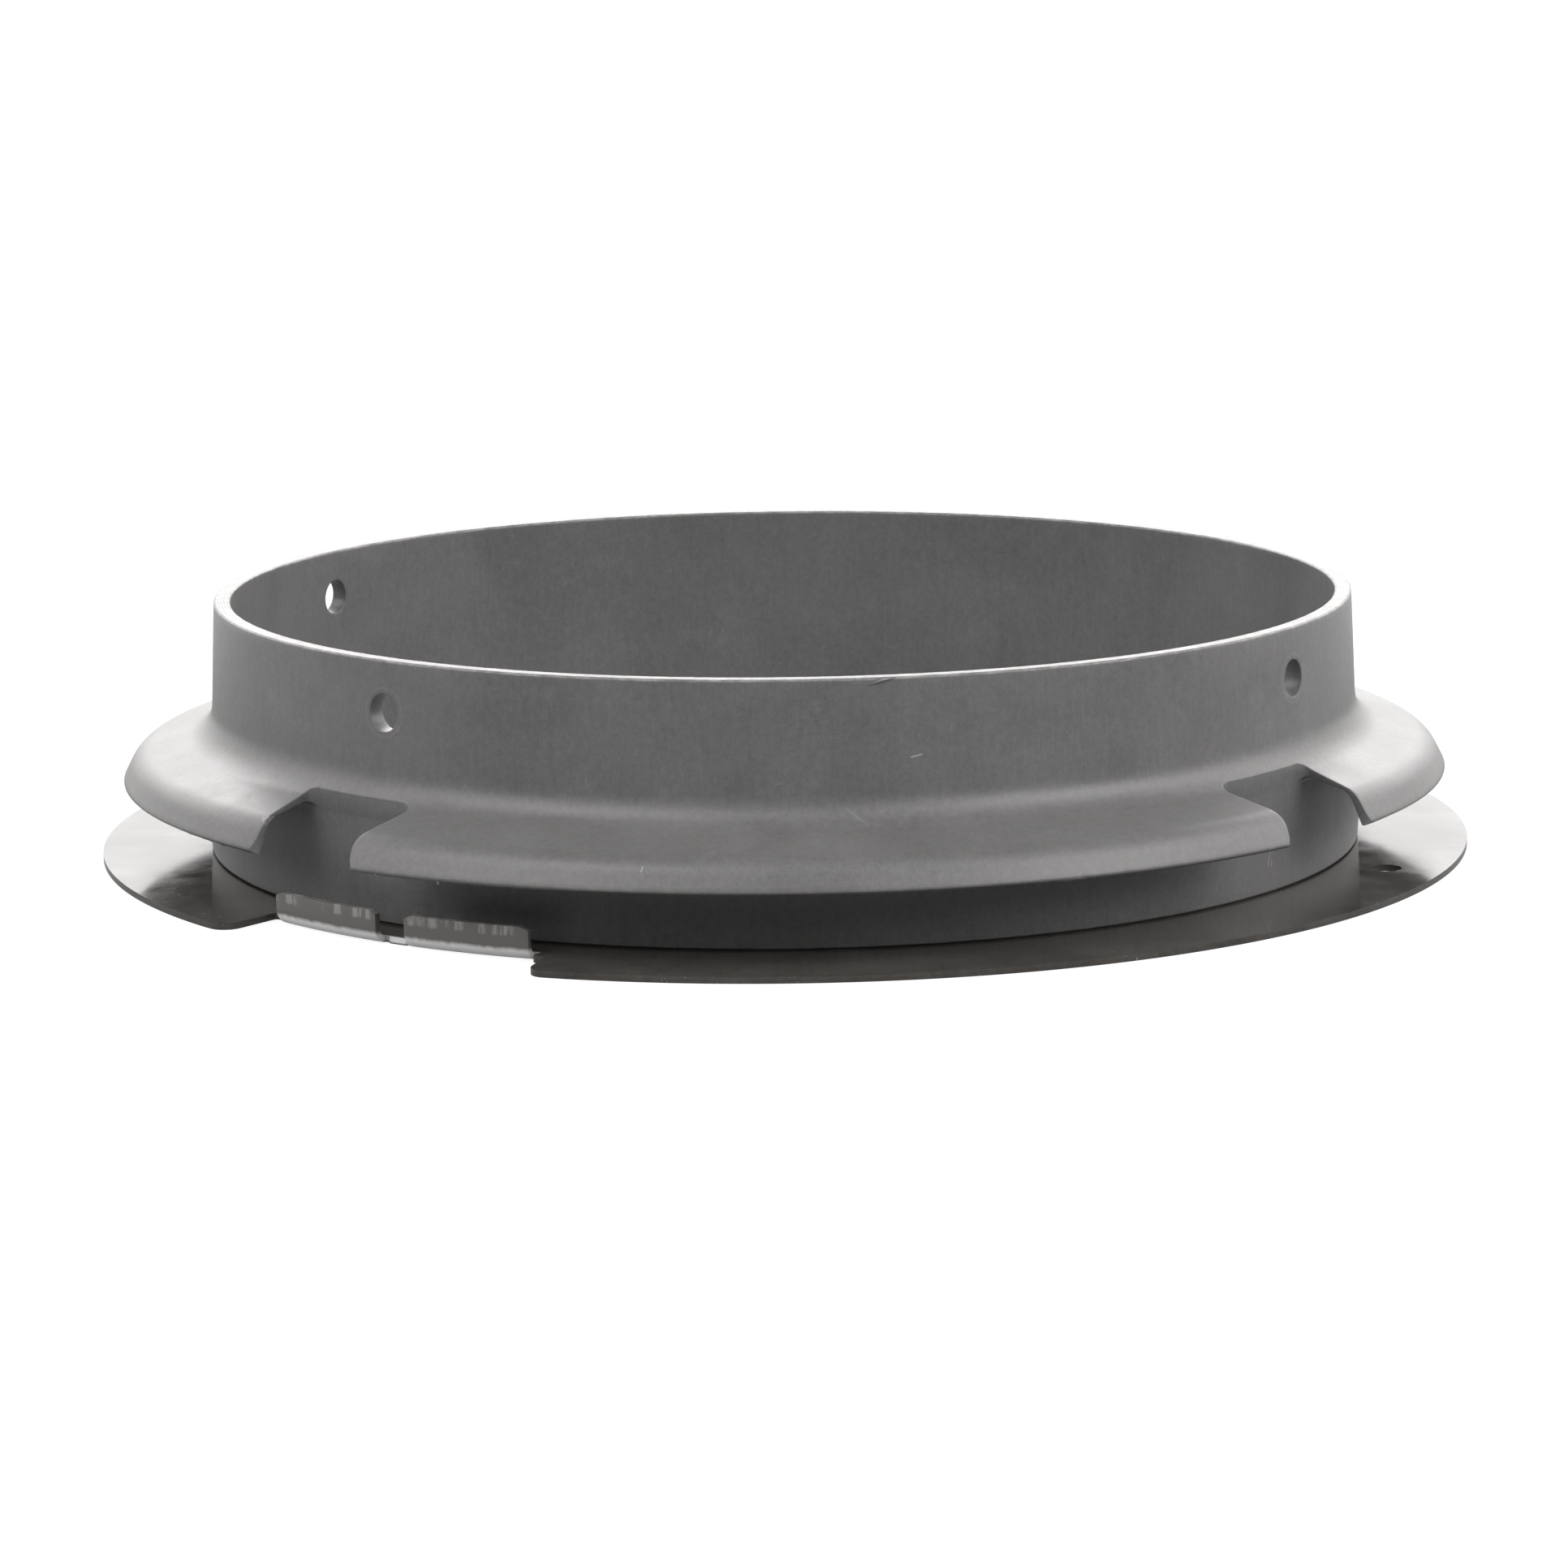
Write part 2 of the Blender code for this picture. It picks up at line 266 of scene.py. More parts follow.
def collar_outline(upper, lower):
    """The closed outline of sleeve and foot, with the flange left as a stub at the gap's floor.

    Also gives the heights of the sleeve's rows, the first of those rows, and the stub's row.
    """
    rim = rounded([(Vector((inside(HEIGHT), HEIGHT - 1 * MM)), 0),
                   (Vector((inside(HEIGHT), HEIGHT)), RIM_ROUND),
                   (Vector((outside(HEIGHT), HEIGHT)), RIM_ROUND),
                   (Vector((outside(HEIGHT), HEIGHT - 1 * MM)), 0)], steps=4)[1:-1]
    sleeve_top = HEIGHT - RIM_ROUND
    sleeve_end = upper[1].y
    count = round((sleeve_top - sleeve_end) / ROW)
    sleeve = [sleeve_top + (sleeve_end - sleeve_top) * i / count for i in range(1, count)]
    fillet = [p for p in upper[1:] if p.x < GAP_FLOOR_RADIUS - 0.05 * MM]
    stub_out = GAP_FLOOR_RADIUS + FOOT_DRAFT * 2.2 * MM
    stub_top = Vector((stub_out, height_at(upper, stub_out)))
    stub_low = Vector((GAP_FLOOR_RADIUS, height_at(lower, GAP_FLOOR_RADIUS)))
    under = [p for p in lower[1:] if p.x < GAP_FLOOR_RADIUS - 0.02 * MM][::-1]
    edge = 0.15 * MM
    foot = refined([under[-1], Vector((FOOT_RADIUS, FOOT_HEIGHT + edge))], 1.2 * MM)[1:]
    foot += [Vector((FOOT_RADIUS - edge, FOOT_HEIGHT)), Vector((SPIGOT_RADIUS, FOOT_HEIGHT)),
             Vector((SPIGOT_RADIUS, edge)), Vector((SPIGOT_RADIUS - edge, 0)),
             Vector((inside(0) + edge, 0)), Vector((inside(0), edge))]
    bottom = foot[-1].y
    inner_low = refined([Vector((inside(bottom), bottom)),
                         Vector((inside(sleeve_end), sleeve_end))], 1.0 * MM)[1:]
    inner = inner_low + [Vector((inside(z), z)) for z in sleeve[::-1]]
    outline = (rim + [Vector((outside(z), z)) for z in sleeve] + fillet
               + [stub_top, stub_low] + under + foot + inner)
    return outline, sleeve, len(rim), outline.index(stub_top)


def add_grid(bm, outline, rim_rows):
    """The outline's points at every column, as rows of vertices, with the rim's wear."""
    grid = []
    for row, point in enumerate(outline):
        line = []
        for column in range(COLUMNS):
            azimuth = column * COLUMN_DEGREES - 180
            radius, height = point.x, point.y
            if row < rim_rows:
                outer = row > rim_rows / 2
                side = 1 if outer else -1
                radius += side * rim_wear(azimuth, outer) * 0.8
                height = min(height + rim_wear(azimuth + 40, outer) * 0.3, HEIGHT)
            line.append(bm.verts.new(plan(radius, azimuth, height)))
        grid.append(line)
    return grid


def flange_sectors():
    """The first and last column of each sector of the flange, from one gap to the next."""
    gaps = sorted((middle - GAP_FLOOR_HALF, middle + GAP_FLOOR_HALF) for middle in FLANGE_GAPS)
    corner = math.degrees(GAP_CORNER / GAP_FLOOR_RADIUS)
    sectors = []
    for index, (start, end) in enumerate(gaps):
        following = gaps[(index + 1) % len(gaps)][0]
        first = round((end - corner + 180) / COLUMN_DEGREES)
        last = round((following + corner + 180) / COLUMN_DEGREES)
        if last <= first:
            last += COLUMNS
        sectors.append((first, last))
    return sectors


def hole_blocks(sleeve, first_sleeve):
    """Each wall hole's azimuth, with the columns and rows of the grid that are left out round it."""
    blocks = []
    for azimuth in HOLE_AZIMUTHS:
        centre = (azimuth + 180) / COLUMN_DEGREES
        half = HOLE_BLOCK / (math.radians(COLUMN_DEGREES) * RIM_RADIUS)
        columns = (math.floor(centre - half), math.ceil(centre + half))
        rows = [first_sleeve + i for i, z in enumerate(sleeve) if abs(z - HOLE_HEIGHT) < HOLE_BLOCK]
        blocks.append((azimuth, columns, (rows[0], rows[-1])))
    return blocks


def add_walls(bm, grid, blocks, sectors, stub_row, mirrored):
    """Faces between the rows of the grid, except at the holes and where the flange leaves."""
    in_sector = set()
    for first, last in sectors:
        in_sector.update(c % COLUMNS for c in range(first, last))
    left_out = set()
    for _, (c0, c1), (r0, r1) in blocks:
        for column in range(c0, c1):
            for row in range(r0, r1):
                left_out.add((row, column % COLUMNS))
                left_out.add((mirrored(row + 1), column % COLUMNS))
    for row in range(len(grid)):
        below = (row + 1) % len(grid)
        for column in range(COLUMNS):
            if (row, column) in left_out or (row == stub_row and column in in_sector):
                continue
            nxt = (column + 1) % COLUMNS
            bm.faces.new((grid[row][column], grid[below][column], grid[below][nxt], grid[row][nxt]))


def add_hole(bm, grid, block, mirrored):
    """A round hole through the wall, in the block of the grid that was left out for it."""
    azimuth, (c0, c1), (r0, r1) = block
    around = [(r0, c) for c in range(c0, c1)] + [(r, c1) for r in range(r0, r1)]
    around += [(r1, c) for c in range(c1, c0, -1)] + [(r, c0) for r in range(r1, r0, -1)]
    rims = []
    for wall, pick in ((outside, lambda r: r), (inside, mirrored)):
        border = [grid[pick(r)][c % COLUMNS] for r, c in around]
        middle, rim = [], []
        for (r, c), vert in zip(around, border):
            across = math.radians(c * COLUMN_DEGREES - 180 - azimuth) * RIM_RADIUS
            up = vert.co.z - HOLE_HEIGHT
            angle = math.atan2(up, across)
            for loop, share in ((middle, 0.5), (rim, 1.0)):
                u = across + (HOLE_RADIUS * math.cos(angle) - across) * share
                w = up + (HOLE_RADIUS * math.sin(angle) - up) * share
                radius = wall(HOLE_HEIGHT + w)
                spot = plan(radius, azimuth + math.degrees(u / radius), HOLE_HEIGHT + w)
                loop.append(bm.verts.new(spot))
        for one, two in ((border, middle), (middle, rim)):
            for i in range(len(one)):
                bm.faces.new((one[i - 1], one[i], two[i], two[i - 1]))
        rims.append(rim)
    for i in range(len(rims[0])):
        bm.faces.new((rims[0][i - 1], rims[0][i], rims[1][i], rims[1][i - 1]))


def sector_strip(stub, upper, lower, edge):
    """A sector's section, from the stub's top out, round the lip and back to the stub."""
    over = [p for p in upper if p.x > stub.x + 0.05 * MM]
    face_out = refined([stub] + over, ROW)[1:]
    ratio = (lower[-1].x - GAP_FLOOR_RADIUS) / (face_out[-1].x - GAP_FLOOR_RADIUS)
    face_in = [Vector((GAP_FLOOR_RADIUS + (p.x - GAP_FLOOR_RADIUS) * ratio, 0)) for p in face_out]
    for point in face_in:
        point.y = height_at(lower, point.x)
    edge_rows = refined(edge, 0.5 * MM)[1:-1]
    return face_out + edge_rows + face_in[::-1], len(face_out), len(edge_rows)


def add_sector(bm, grid, stub_row, columns, section, seed):
    """One sector of the flange, a sheet that shares the stub's two edges."""
    first, last = columns
    strip, face_rows, edge_count = section
    start, end = first * COLUMN_DEGREES - 180, last * COLUMN_DEGREES - 180
    sheets = []
    for column in range(first, last + 1):
        base = column * COLUMN_DEGREES - 180
        from_start = math.radians(base - start) * LIP_RADIUS
        from_end = math.radians(end - base) * LIP_RADIUS
        near_start = max(0.0, 1 - from_start / CORNER_FADE) ** 1.5
        near_end = max(0.0, 1 - from_end / CORNER_FADE) ** 1.5
        line = [grid[stub_row][column % COLUMNS]]
        for row, point in enumerate(strip):
            shift = end_shift(point.x - GAP_FLOOR_RADIUS)
            azimuth = base + math.degrees((near_end - near_start) * shift / point.x)
            radius, height = point.x, point.y
            on_edge = row - face_rows
            if 0 <= on_edge < edge_count:
                share = on_edge / edge_count
                height -= flash(azimuth, seed * 7) * share ** 2
                radius += 0.05 * MM * ripple(azimuth * 1.3, seed, 8) * (1 - share)
            line.append(bm.verts.new(plan(radius, azimuth, height)))
        line.append(grid[stub_row + 1][column % COLUMNS])
        sheets.append(line)
    for near, far in zip(sheets, sheets[1:]):
        for i in range(len(near) - 1):
            bm.faces.new((near[i], near[i + 1], far[i + 1], far[i]))
    for line in (sheets[0], sheets[-1]):
        low = line[::-1]
        for i in range(face_rows):
            bm.faces.new((line[i], line[i + 1], low[i + 1], low[i]))
        bm.faces.new(line[face_rows:len(line) - face_rows])


def build_collar_mesh():
    upper, lower, edge = flange_runs()
    outline, sleeve, first_sleeve, stub_row = collar_outline(upper, lower)

    def mirrored(row):
        """The inner wall's row at the height of an outer sleeve row."""
        return len(outline) - 1 - (row - first_sleeve)

    bm = bmesh.new()
    grid = add_grid(bm, outline, first_sleeve)
    sectors = flange_sectors()
    blocks = hole_blocks(sleeve, first_sleeve)
    add_walls(bm, grid, blocks, sectors, stub_row, mirrored)
    for block in blocks:
        add_hole(bm, grid, block, mirrored)
    section = sector_strip(outline[stub_row], upper, lower, edge)
    for seed, columns in enumerate(sectors):
        add_sector(bm, grid, stub_row, columns, section, seed)
    loose = [v for v in bm.verts if not v.link_faces]
    bmesh.ops.delete(bm, geom=loose, context="VERTS")
    return bm


def add_thread(bm, spots, radius):
    """A tapered thread of plastic flash through some points."""
    rings = []
    for index, spot in enumerate(spots):
        ahead = (spots[min(index + 1, len(spots) - 1)] - spots[max(index - 1, 0)]).normalized()
        side = ahead.orthogonal().normalized()
        other = ahead.cross(side)
        size = radius * math.sin(math.pi * (index + 0.6) / (len(spots) + 0.2))
        rings.append([bm.verts.new(spot + size * (math.cos(a) * side + math.sin(a) * other))
                      for a in (math.tau * i / 8 for i in range(8))])
    for near, far in zip(rings, rings[1:]):
        for i in range(8):
            bm.faces.new((near[i - 1], near[i], far[i], far[i - 1]))
    bm.faces.new(rings[0])
    bm.faces.new(rings[-1][::-1])


def add_flash_threads(bm):
    """The curl at the rim's front, and two short burrs that hang from the flange's lower edge."""
    curl = []
    for step in range(13):
        share = step / 12
        height = HEIGHT - 0.12 * MM - 0.75 * MM * share ** 1.7
        off = (0.05 + 0.35 * share * (1 - share)) * MM
        curl.append(plan(outside(height) + off, 10.2 - 2.4 * share, height))
    add_thread(bm, curl, 0.13 * MM)
    for azimuth, drop in ((-28.6, 0.55), (-34.6, 0.3)):
        burr = [plan(LIP_RADIUS - 0.45 * MM + 0.1 * MM * i / 5, azimuth + 0.04 * i,
                     LIP_HEIGHT - 0.1 * MM - drop * MM * i / 5) for i in range(6)]
        add_thread(bm, burr, 0.14 * MM)


def break_edges(bm, width, angle):
    """Rounds off every edge sharper than an angle by a small width."""
    bmesh.ops.recalc_face_normals(bm, faces=bm.faces)
    if bm.calc_volume(signed=True) < 0:
        bmesh.ops.reverse_faces(bm, faces=bm.faces)
    sharp = [e for e in bm.edges if e.is_manifold and e.calc_face_angle(0) > angle]
    bmesh.ops.bevel(bm, geom=sharp, offset=width, segments=3, profile=0.5,
                    affect="EDGES", clamp_overlap=True)


def finished(name, bm, finish, node):
    mesh = bpy.data.meshes.new(name)
    bm.to_mesh(mesh)
    bm.free()
    mesh.shade_smooth()
    mesh.set_sharp_from_angle(angle=math.radians(40))
    for face in mesh.polygons:
        face.use_smooth = abs(face.normal.z) < 0.9999
    piece = bpy.data.objects.new(name, mesh)
    bpy.context.scene.collection.objects.link(piece)
    mesh.materials.append(finish)
    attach(piece, "root")
    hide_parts(node)


def closed_rounded(corners, steps=6):
    """A closed outline in plan from (point, fillet radius) corners."""
    wrapped = [corners[-1]] + corners + [corners[0]]
    outline = []
    for index in range(1, len(wrapped) - 1):
        run = rounded(wrapped[index - 1:index + 2], steps)
        outline += run[1:-1]
    return outline


def arc(radius, start, end, step=0.75):
    count = max(1, round(abs(end - start) / step))
    return [plan(radius, start + (end - start) * i / count).to_2d() for i in range(count + 1)]


def plain(points):
    return [(point, 0) for point in points]


def build_ring_mesh():
    relief = LIP_RELIEF
    corners = []
    for turn in (0, 180):
        (a0, a1), (b0, b1) = [(s + turn, e + turn) for s, e in UPTURNED_LIPS]
        corners += [(plan(RING_RADIUS, NOTCH_START[0] + turn).to_2d(), NOTCH_CORNER),
                    (plan(NOTCH_FLOOR, NOTCH_START[1] + turn).to_2d(), 0.5 * MM)]
        corners += plain([plan(NOTCH_FLOOR, a0 - relief).to_2d()]) + plain(arc(NOTCH_FLOOR, a0, a1))
        corners += [(plan(NOTCH_FLOOR, a1 + relief).to_2d(), 0),
                    (plan(LAND_FLOOR, a1 + relief + 0.3).to_2d(), 0.3 * MM)]
        corners += plain(arc(LAND_FLOOR, a1 + relief + 0.6, b0 - relief - 0.6))
        corners += [(plan(LAND_FLOOR, b0 - relief - 0.3).to_2d(), 0.3 * MM),
                    (plan(NOTCH_FLOOR, b0 - relief).to_2d(), 0)]
        corners += plain(arc(NOTCH_FLOOR, b0, b1))
        corners += [(plan(NOTCH_FLOOR, b1 + 0.3).to_2d(), 0.0),
                    (plan(RELIEF_FLOOR, b1 + 0.45).to_2d(), 0.3 * MM),
                    (plan(RELIEF_FLOOR, NOTCH_END[0] + turn).to_2d(), 0.25 * MM),
                    (plan(RING_RADIUS, NOTCH_END[1] + turn).to_2d(), NOTCH_CORNER)]
        corners += plain(arc(RING_RADIUS, RIM_ARC[0] + turn, RIM_ARC[1] + turn))
    outline = closed_rounded(corners)
    bore = arc(BORE_RADIUS, 0, 359.25)
    holes = []
    for turn in (0, 180):
        centre = plan(SCREW_CIRCLE, SCREW_AZIMUTH + turn).to_2d()
        holes.append([centre + spot for spot in arc(SCREW_HOLE_RADIUS, 0, 352.5, 7.5)])

    bm = bmesh.new()
    edges = []
    for loop in [outline, bore] + holes:
        verts = [bm.verts.new((p.x, p.y, 0.0)) for p in loop]
        edges += [bm.edges.new((verts[i - 1], verts[i])) for i in range(len(verts))]
    bmesh.ops.triangle_fill(bm, use_beauty=True, edges=edges)
    grown = bmesh.ops.extrude_face_region(bm, geom=bm.faces[:])
    risen = [item for item in grown["geom"] if isinstance(item, bmesh.types.BMVert)]
    bmesh.ops.translate(bm, vec=(0, 0, SHEET), verts=risen)

    # Each upturned lip grows from the floor's side faces, through the bend to its top edge
    steps, top_steps = 8, 4
    chain = []
    for step in range(1, steps + 1):
        angle = math.pi / 2 * step / steps
        chain.append((BEND * math.sin(angle), BEND * (1 - math.cos(angle)),
                      (BEND - SHEET) * math.sin(angle), BEND - (BEND - SHEET) * math.cos(angle)))
    upright = LIP_TOP - BEND
    chain += [(BEND, BEND + upright * s / top_steps, BEND - SHEET, BEND + upright * s / top_steps)
              for s in range(1, top_steps + 1)]
    bm.verts.ensure_lookup_table()
    for turn in (0, 180):
        for start, end in UPTURNED_LIPS:
            spots = arc(NOTCH_FLOOR, start + turn, end + turn)
            lows = [min(bm.verts, key=lambda v: (v.co - Vector((p.x, p.y, 0))).length) for p in spots]
            highs = [min(bm.verts, key=lambda v: (v.co - Vector((p.x, p.y, SHEET))).length) for p in spots]
            for i in range(len(spots) - 1):
                wall = next(f for f in lows[i].link_faces
                            if highs[i + 1] in f.verts and lows[i + 1] in f.verts)
                bm.faces.remove(wall)
            outers, inners = [], []
            width = math.radians(end - start) * LIP_FACE
            for i, spot in enumerate(spots):
                outward = Vector((spot.x, spot.y, 0)).normalized()
                base = outward * NOTCH_FLOOR
                along = width * i / (len(spots) - 1)
                nearest = min(along, width - along)
                drop = 0.45 * MM * max(0.0, 1 - nearest / (0.9 * MM)) ** 2
                drop += 0.04 * MM * ripple(start * 3 + along / MM * 0.35)
                outer, inner = [lows[i]], [highs[i]]
                for r_out, z_out, r_in, z_in in chain:
                    share = max(0.0, (z_out - BEND) / upright)
                    for line, r, z in ((outer, r_out, z_out), (inner, r_in, z_in)):
                        spot = base + outward * r + Vector((0, 0, z - drop * share))
                        line.append(bm.verts.new(spot))
                outers.append(outer)
                inners.append(inner)
            for i in range(len(spots) - 1):
                out, out_next = outers[i], outers[i + 1]
                back, back_next = inners[i], inners[i + 1]
                for k in range(len(chain)):
                    bm.faces.new((out[k], out[k + 1], out_next[k + 1], out_next[k]))
                    bm.faces.new((back[k], back_next[k], back_next[k + 1], back[k + 1]))
                bm.faces.new((outers[i][-1], inners[i][-1], inners[i + 1][-1], outers[i + 1][-1]))
            for outer, inner in ((outers[0], inners[0]), (outers[-1], inners[-1])):
                for k in range(len(chain)):
                    bm.faces.new((outer[k], inner[k], inner[k + 1], outer[k + 1]))
    return bm


class Graph:
    """The nodes of a material or world, each added with its inputs already linked or set."""

    def __init__(self, owner, shader="Principled BSDF"):
        owner.use_nodes = True
        self.owner = owner
        self.tree = owner.node_tree
        self.shader = self.tree.nodes[shader]

    def add(self, kind, inputs=(), output=0, **settings):
        node = self.tree.nodes.new("ShaderNode" + kind)
        for key, value in settings.items():
            setattr(node, key, value)
        for socket, value in dict(inputs).items():
            self.feed(node.inputs[socket], value)
        return node.outputs[output]

    def feed(self, socket, value):
        if isinstance(value, bpy.types.NodeSocket):
            self.tree.links.new(value, socket)
        else:
            socket.default_value = value

    def math(self, operation, *values, clamp=False):
        return self.add("Math", enumerate(values), operation=operation, use_clamp=clamp)

    def vector(self, operation, *values, output=0):
        return self.add("VectorMath", enumerate(values), output, operation=operation)

    def remap(self, value, low, high, to_low=0.0, to_high=1.0, kind="SMOOTHSTEP"):
        return self.add("MapRange", {0: value, 1: low, 2: high, 3: to_low, 4: to_high},
                        interpolation_type=kind)

    def noise(self, place, scale, detail=3.0, roughness=0.5, distortion=0.0):
        return self.add("TexNoise", {"Vector": place, "Scale": scale, "Detail": detail,
                                     "Roughness": roughness, "Distortion": distortion})

    def blend(self, share, first, second):
        return self.add("Mix", {0: share, 6: first, 7: second}, 2, data_type="RGBA")

    def bump(self, height, distance, strength=1.0, normal=None):
        inputs = {"Height": height, "Distance": distance, "Strength": strength}
        if normal:
            inputs["Normal"] = normal
        return self.add("Bump", inputs)

    def surface(self, **inputs):
        for socket, value in inputs.items():
            self.feed(self.shader.inputs[socket.replace("_", " ")], value)
        return self.owner


def grey(level, warm=0.0):
    return (level * (1 + warm), level, level * (1 - warm), 1)


def collar_marks(g, x, y, z, outer):
    """The few scratches that stand out, and the faint ring that the drill's stop left round each hole."""
    girth = (RIM_RADIUS + FOOT_RADIUS) / 2 / MM
    along = g.math("MULTIPLY", g.math("ARCTAN2", x, g.math("MULTIPLY", y, -1.0)), girth)
    spot = g.add("CombineXYZ", {0: along, 1: z})
    total = None
    for (a0, z0), (a1, z1), width, strength in MARKS:
        start = Vector((math.radians(a0) * girth, z0, 0))
        run = Vector((math.radians(a1) * girth, z1, 0)) - start
        away = g.vector("SUBTRACT", spot, tuple(start))
        share = g.vector("DOT_PRODUCT", away, tuple(run), output=1)
        share = g.math("DIVIDE", share, run.length_squared, clamp=True)
        nearest = g.vector("SCALE", tuple(run))
        g.feed(nearest.node.inputs["Scale"], share)
        gap = g.vector("LENGTH", g.vector("SUBTRACT", away, nearest), output=1)
        mark = g.remap(gap, width * 0.3, width, strength, 0.0)
        total = g.math("ADD", total, mark) if total else mark
    for azimuth in HOLE_AZIMUTHS:
        centre = (math.radians(azimuth) * girth, HOLE_HEIGHT / MM, 0.0)
        gap = g.vector("DISTANCE", spot, centre, output=1)
        ring = g.remap(g.math("ABSOLUTE", g.math("SUBTRACT", gap, HOLE_MARK)), 0.05, 0.16, 0.10, 0.0)
        total = g.math("ADD", total, ring)
    return g.math("MULTIPLY", total, outer)


def plastic():
    """Mid-grey moulded plastic: satin, faintly streaked along its length, scuffed and scratched, with a
    painted highlight along the rim's top.
    """
    g = Graph(bpy.data.materials.new("collar_plastic"))
    place = g.vector("SCALE", g.add("TexCoord", output=3))
    g.feed(place.node.inputs["Scale"], 1 / MM)
    x, y, z = (g.add("SeparateXYZ", {0: place}, i) for i in range(3))
    radius = g.math("SQRT", g.math("ADD", g.math("MULTIPLY", x, x), g.math("MULTIPLY", y, y)))
    upright = g.vector("MULTIPLY", place, (1.0, 1.0, 0.10))

    streak = g.noise(upright, 1.6, 5.0, 0.62)
    fibre = g.noise(upright, 5.5, 3.0, 0.6)
    cloud = g.noise(place, 0.055, 4.0, 0.55, 0.6)
    patch = g.noise(place, 0.16, 5.0, 0.65)
    grain = g.noise(place, 6.0, 3.0, 0.6)
    mottle = g.noise(place, 1.1, 4.0, 0.7)
    tone = 0.0
    for pattern, swing in ((streak, 0.022), (fibre, 0.018), (cloud, 0.05), (grain, 0.055), (mottle, 0.05)):
        tone = g.math("ADD", tone, g.remap(pattern, 0.3, 0.7, -swing, swing, "LINEAR"))
    colour = g.blend(g.remap(tone, -0.16, 0.16, 0.0, 1.0, "LINEAR"), grey(0.080, 0.012), grey(0.168, 0.004))

    # Rubbed patches and hairline scratches, paler than the plastic, and a painted highlight along the rim's
    # top
    slanted = g.add("Mapping", {"Vector": place, "Rotation": (0.5, 0.3, 0.9), "Scale": (3.0, 0.22, 0.5)})
    crossed = g.add("Mapping", {"Vector": place, "Rotation": (-0.4, 0.8, -0.5), "Scale": (0.3, 4.0, 0.6)})
    hairs = g.math("MAXIMUM", g.remap(g.noise(slanted, 1.0, 2.0, 0.5, 0.4), 0.655, 0.70),
                   g.remap(g.noise(crossed, 1.0, 2.0, 0.5, 0.5), 0.665, 0.71))
    scratched = g.math("MULTIPLY", hairs, g.remap(patch, 0.48, 0.62))
    rubbed = g.math("MULTIPLY", g.remap(patch, 0.56, 0.74), g.remap(fibre, 0.35, 0.65, 0.3, 1.0))
    specks = g.remap(g.noise(place, 1.7, 2.0, 0.4), 0.735, 0.77)
    wear = g.remap(g.add("NewGeometry", output=7), 0.515, 0.60)
    marked = collar_marks(g, x, y, z, g.math("GREATER_THAN", radius, 75.4))
    # Painted highlight: the rim's top is painted paler in ragged patches, as if lit from above
    along_rim = g.vector("MULTIPLY", place, (0.35, 0.35, 1.0))
    rim_top_highlight = g.math("MULTIPLY", g.remap(z, HEIGHT / MM - 0.45, HEIGHT / MM - 0.1),
                     g.remap(g.noise(along_rim, 1.2, 5.0, 0.7), 0.35, 0.7))
    pale = marked
    for mark, strength in ((scratched, 0.05), (rubbed, 0.08), (specks, 0.05), (wear, 0.3), (rim_top_highlight, 0.5)):
        pale = g.math("ADD", pale, g.math("MULTIPLY", mark, strength), clamp=True)
    colour = g.blend(pale, colour, grey(0.42, 0.01))

    # The trimming tool leaves fine rings on the rim
    lathe = g.math("SINE", g.math("MULTIPLY", radius, 16.0))
    lathe = g.math("MULTIPLY", lathe, g.remap(z, HEIGHT / MM - 0.3, HEIGHT / MM - 0.05))
    rough = g.math("ADD", g.remap(cloud, 0.3, 0.7, 0.37, 0.43),
                   g.remap(fibre, 0.3, 0.7, -0.04, 0.04, "LINEAR"))
    rough = g.math("ADD", rough, g.math("MULTIPLY", pale, 0.12), clamp=True)
    skin = g.bump(fibre, 0.02 * MM, 0.5)
    skin = g.bump(grain, 0.012 * MM, 0.5, skin)
    skin = g.bump(g.noise(place, 0.22, 2.0), 0.10 * MM, 0.5, skin)
    skin = g.bump(lathe, 0.03 * MM, 0.7, skin)
    skin = g.bump(scratched, -0.03 * MM, 0.6, skin)
    g.shader.inputs["IOR"].default_value = 1.5
    return g.surface(Base_Color=colour, Roughness=rough, Normal=skin)


